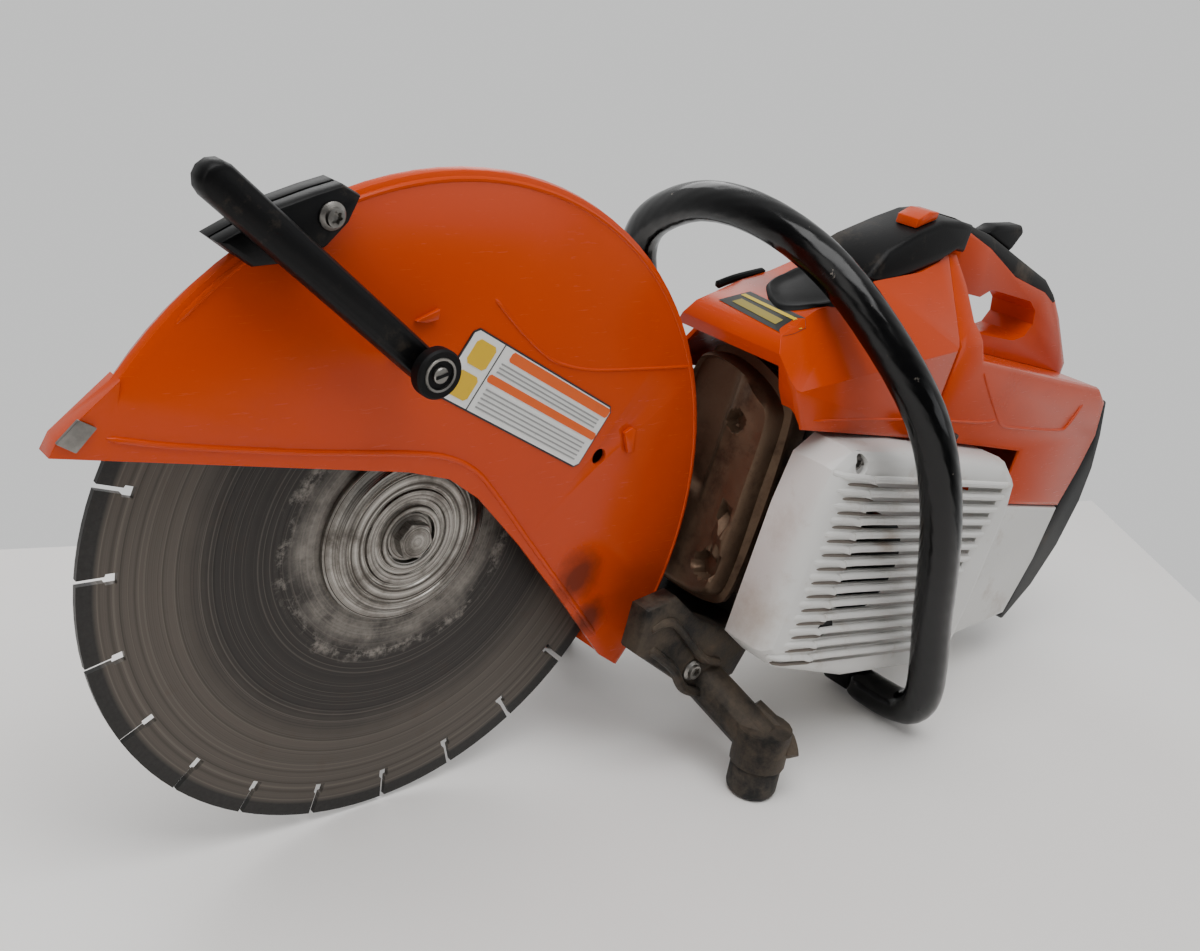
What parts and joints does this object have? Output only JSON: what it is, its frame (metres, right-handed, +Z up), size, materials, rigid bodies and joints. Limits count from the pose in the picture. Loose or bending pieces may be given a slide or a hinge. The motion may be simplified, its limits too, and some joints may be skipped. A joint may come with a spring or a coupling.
{
  "type": "cut-off saw",
  "caption": "Hand-held petrol cut-off saw: segmented wheel in a tilting orange guard, belt arm, louvred starter cover, wrap-around handlebar and rear throttle handle.",
  "frame": {"origin": "floor point under the centre of the bounding box", "axes": "+X from the cutting wheel towards the rear handle, +Y the operator's right along the wheel spindle, +Z up from the floor"},
  "size_m": [0.8186, 0.2904, 0.3837],
  "materials": {
    "orange": "glossy orange shell, scuffed",
    "white": "off-white moulding, dusty",
    "black": "black moulding and paint",
    "rubber": "soft black rubber",
    "steel": "bare turned steel",
    "blade_steel": "dark scored blade steel",
    "aluminium": "cast aluminium",
    "heat_stained": "heat-stained pressed steel"
  },
  "bodies": {
    "chassis": {"arm_casting": "aluminium", "spindle_bearing": "steel", "belt_cover": "black", "drive_belt": "rubber", "crankcase": "aluminium", "engine_cylinder": "aluminium", "spark_plug": "steel", "spark_plug_boot": "rubber", "muffler": "heat_stained", "exhaust_port": "aluminium", "muffler_bolt": "steel", "carburettor": "aluminium", "intake_boot": "rubber", "air_filter": "rubber", "starter_cover": "white", "cover_screw": "steel", "spring_housing": "black", "hood": "orange", "filter_cover": "black", "rear_housing": "orange", "handle_frame": "orange", "grip_sleeve": "rubber", "tank_housing": "white", "rear_skid": "black", "rear_foot": "rubber", "handlebar": "black", "upper_bar_clamp": "black", "lower_bar_clamp": "black", "foot_bracket": "black", "foot_buffer_left": "rubber", "foot_buffer_right": "rubber", "foot_bolt": "steel"},
    "wheel": {"cutting_wheel": "blade_steel", "front_flange": "steel", "wheel_bolt": "steel", "rear_flange": "steel", "spindle": "steel", "driven_pulley": "aluminium"},
    "guard": {"guard_shell": "orange", "guard_nose_clip": "steel", "lever_bracket": "black", "guard_lever": "black", "lever_screw": "steel", "water_connector": "black"},
    "clutch_drum": {"clutch_drum": "steel"},
    "crank": {"crankshaft": "steel", "flywheel": "aluminium", "clutch_shoes": "steel"},
    "starter_pulley": {"starter_pulley": "black"},
    "starter_grip": {"starter_grip": "black"},
    "throttle_trigger": {"throttle_trigger": "black"},
    "throttle_lockout": {"throttle_lockout": "black"},
    "stop_switch": {"stop_switch": "orange"},
    "fuel_cap": {"fuel_cap": "black"}
  },
  "joints": [
    {"name": "wheel_spin", "type": "hinge", "parent": "chassis", "child": "wheel", "pos_m": [-0.21393, 0.00423, 0.178], "axis": [0, 1, 0], "continuous": true},
    {"name": "guard_tilt", "type": "hinge", "parent": "chassis", "child": "guard", "pos_m": [-0.21393, 0.00423, 0.178], "axis": [0, 1, 0], "range_deg": [-30, 30]},
    {"name": "drum_spin", "type": "hinge", "parent": "chassis", "child": "clutch_drum", "pos_m": [0.08007, 0.00423, 0.14647], "axis": [0, 1, 0], "continuous": true},
    {"name": "crank_spin", "type": "hinge", "parent": "chassis", "child": "crank", "pos_m": [0.08007, 0.00423, 0.14647], "axis": [0, 1, 0], "continuous": true},
    {"name": "starter_turn", "type": "hinge", "parent": "chassis", "child": "starter_pulley", "pos_m": [0.08007, 0.00423, 0.14647], "axis": [0, 1, 0], "range_deg": [0, 1528], "stiffness_Nm_per_rad": 0.004, "springref_deg": -2291.83},
    {"name": "starter_pull", "type": "slide", "parent": "chassis", "child": "starter_grip", "axis": [0.1736, 0, 0.9848], "range_m": [0, 0.8]},
    {"name": "trigger_squeeze", "type": "hinge", "parent": "chassis", "child": "throttle_trigger", "pos_m": [0.21212, -0.01677, 0.30799], "axis": [0, -1, 0], "range_deg": [0, 16], "stiffness_Nm_per_rad": 0.2, "springref_deg": -17.19},
    {"name": "lockout_press", "type": "hinge", "parent": "chassis", "child": "throttle_lockout", "pos_m": [0.23795, -0.01677, 0.34507], "axis": [0, 1, 0], "range_deg": [0, 7], "stiffness_Nm_per_rad": 0.2, "springref_deg": -17.19},
    {"name": "switch_slide", "type": "slide", "parent": "chassis", "child": "stop_switch", "axis": [0.9641, 0, 0.2657], "range_m": [0, 0.005]},
    {"name": "fuel_cap_turn", "type": "hinge", "parent": "chassis", "child": "fuel_cap", "pos_m": [0.29203, 0.06823, 0.09894], "axis": [0, 1, 0], "range_deg": [-90, 0]}
  ],
  "couplings": [
    {"joint": "drum_spin", "follows": "wheel_spin", "ratio": 1.7241},
    {"joint": "starter_pull", "follows": "starter_turn", "m_per_rad": 0.03}
  ]
}
